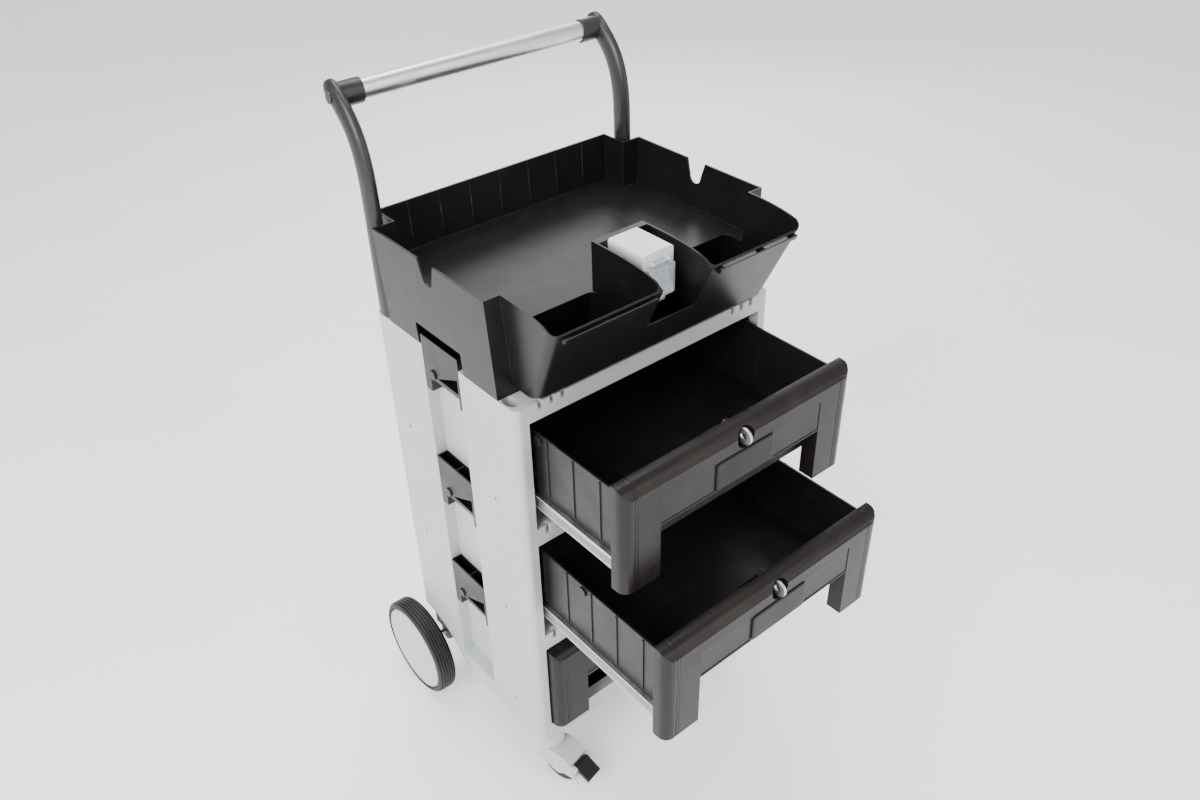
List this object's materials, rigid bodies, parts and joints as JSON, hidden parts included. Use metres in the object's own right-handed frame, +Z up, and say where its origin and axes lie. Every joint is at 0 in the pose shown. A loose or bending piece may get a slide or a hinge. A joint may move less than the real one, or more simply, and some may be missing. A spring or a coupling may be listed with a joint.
{
  "type": "wheeled detailing trolley",
  "caption": "Tool trolley with stacked drawers, an open top tray with front bins, a socket box, a push handle, large rear wheels and swivel casters.",
  "frame": {"origin": "centre of the footprint on the floor, with two drawers standing open as stored", "axes": "+Z up. -Y is the front, where the drawers open, and the push handle is at +Y. +X is the right-hand side as seen from the front looking along +Y."},
  "size_m": [0.623, 0.769, 1.2318],
  "materials": {
    "grey_body": "light grey moulded plastic, softly glossy",
    "black_tray": "black moulded plastic, fine grain",
    "charcoal_drawer": "charcoal moulded plastic, semi-gloss",
    "dark_trim": "black plastic, satin",
    "handle_arm": "dark grey plastic, satin",
    "aluminium_bar": "anodised, satin",
    "runner_steel": "zinc plated",
    "lock_metal": "nickel plated, satin",
    "white_housing": "white, softly glossy",
    "clear_lid": "clear bluish plastic",
    "tyre_rubber": "matt black",
    "caster_grey": "light grey, softly glossy"
  },
  "bodies": {
    "trolley": {"body_module_upper": "grey_body", "body_module_middle": "grey_body", "body_module_lower": "grey_body", "chassis": "dark_trim", "side_bracket_left_upper": "dark_trim", "side_bracket_left_middle": "dark_trim", "side_bracket_left_lower": "dark_trim", "side_bracket_right_upper": "dark_trim", "side_bracket_right_middle": "dark_trim", "side_bracket_right_lower": "dark_trim", "top_tray": "black_tray", "bin_label_rail_left": "black_tray", "handle_arm_left": "handle_arm", "caster_mount_left": "caster_grey", "bin_label_rail_right": "black_tray", "handle_arm_right": "handle_arm", "caster_mount_right": "caster_grey", "handle_bar": "aluminium_bar", "rear_axle": "runner_steel", "socket_housing": "white_housing", "socket_cover": "white_housing", "socket_outlet": "white_housing", "socket_hinge": "white_housing"},
    "drawer_upper": {"drawer_upper_box": "charcoal_drawer", "drawer_upper_front": "charcoal_drawer", "drawer_upper_nameplate": "dark_trim", "drawer_upper_runner_left": "runner_steel", "drawer_upper_runner_right": "runner_steel"},
    "lock_upper": {"drawer_upper_lock": "dark_trim", "drawer_upper_key": "lock_metal"},
    "drawer_middle": {"drawer_middle_box": "charcoal_drawer", "drawer_middle_front": "charcoal_drawer", "drawer_middle_nameplate": "dark_trim", "drawer_middle_runner_left": "runner_steel", "drawer_middle_runner_right": "runner_steel"},
    "lock_middle": {"drawer_middle_lock": "dark_trim", "drawer_middle_key": "lock_metal"},
    "drawer_lower": {"drawer_lower_box": "charcoal_drawer", "drawer_lower_front": "charcoal_drawer", "drawer_lower_nameplate": "dark_trim", "drawer_lower_runner_left": "runner_steel", "drawer_lower_runner_right": "runner_steel"},
    "lock_lower": {"drawer_lower_lock": "dark_trim", "drawer_lower_key": "lock_metal"},
    "socket_lid": {"socket_lid": "clear_lid"},
    "rear_wheel_left": {"rear_tyre_left": "tyre_rubber", "rear_rim_left": "grey_body", "rear_wheel_cap_left": "grey_body"},
    "caster_left": {"caster_fork_left": "caster_grey", "caster_axle_left": "runner_steel"},
    "caster_left_wheel": {"caster_wheel_left": "tyre_rubber"},
    "caster_left_pedal": {"caster_pedal_left": "dark_trim"},
    "rear_wheel_right": {"rear_tyre_right": "tyre_rubber", "rear_rim_right": "grey_body", "rear_wheel_cap_right": "grey_body"},
    "caster_right": {"caster_fork_right": "caster_grey", "caster_axle_right": "runner_steel"},
    "caster_right_wheel": {"caster_wheel_right": "tyre_rubber"},
    "caster_right_pedal": {"caster_pedal_right": "dark_trim"}
  },
  "joints": [
    {"name": "drawer_upper_slide", "type": "slide", "parent": "trolley", "child": "drawer_upper", "axis": [0, -1, 0], "range_m": [-0.181, 0.119]},
    {"name": "drawer_upper_lock_turn", "type": "hinge", "parent": "drawer_upper", "child": "lock_upper", "pos_m": [0, -0.284, 0.8085], "axis": [0, 1, 0], "range_deg": [0, 90]},
    {"name": "drawer_middle_slide", "type": "slide", "parent": "trolley", "child": "drawer_middle", "axis": [0, -1, 0], "range_m": [-0.271, 0.029]},
    {"name": "drawer_middle_lock_turn", "type": "hinge", "parent": "drawer_middle", "child": "lock_middle", "pos_m": [0, -0.374, 0.5705], "axis": [0, 1, 0], "range_deg": [0, 90]},
    {"name": "drawer_lower_slide", "type": "slide", "parent": "trolley", "child": "drawer_lower", "axis": [0, -1, 0], "range_m": [0, 0.3]},
    {"name": "drawer_lower_lock_turn", "type": "hinge", "parent": "drawer_lower", "child": "lock_lower", "pos_m": [0, -0.103, 0.3325], "axis": [0, 1, 0], "range_deg": [0, 90]},
    {"name": "socket_lid_hinge", "type": "hinge", "parent": "trolley", "child": "socket_lid", "pos_m": [0, -0.0975, 1.0165], "axis": [-1, 0, 0], "range_deg": [0, 110]},
    {"name": "rear_wheel_left_spin", "type": "hinge", "parent": "trolley", "child": "rear_wheel_left", "pos_m": [-0.289, 0.284, 0.1005], "axis": [1, 0, 0], "continuous": true},
    {"name": "caster_left_swivel", "type": "hinge", "parent": "trolley", "child": "caster_left", "pos_m": [-0.218, -0.051, 0.1085], "axis": [0, 0, 1], "continuous": true},
    {"name": "caster_left_wheel_spin", "type": "hinge", "parent": "caster_left", "child": "caster_left_wheel", "pos_m": [-0.21125, -0.08023, 0.0375], "axis": [0.9744, 0.225, 0], "continuous": true},
    {"name": "caster_left_pedal_press", "type": "hinge", "parent": "caster_left", "child": "caster_left_pedal", "pos_m": [-0.20225, -0.11921, 0.06], "axis": [0.9744, 0.225, 0], "range_deg": [0, 15]},
    {"name": "rear_wheel_right_spin", "type": "hinge", "parent": "trolley", "child": "rear_wheel_right", "pos_m": [0.289, 0.284, 0.1005], "axis": [1, 0, 0], "continuous": true},
    {"name": "caster_right_swivel", "type": "hinge", "parent": "trolley", "child": "caster_right", "pos_m": [0.218, -0.051, 0.1085], "axis": [0, 0, 1], "continuous": true},
    {"name": "caster_right_wheel_spin", "type": "hinge", "parent": "caster_right", "child": "caster_right_wheel", "pos_m": [0.21125, -0.02177, 0.0375], "axis": [-0.9744, -0.225, 0], "continuous": true},
    {"name": "caster_right_pedal_press", "type": "hinge", "parent": "caster_right", "child": "caster_right_pedal", "pos_m": [0.20225, 0.01721, 0.06], "axis": [-0.9744, -0.225, 0], "range_deg": [0, 15]}
  ]
}
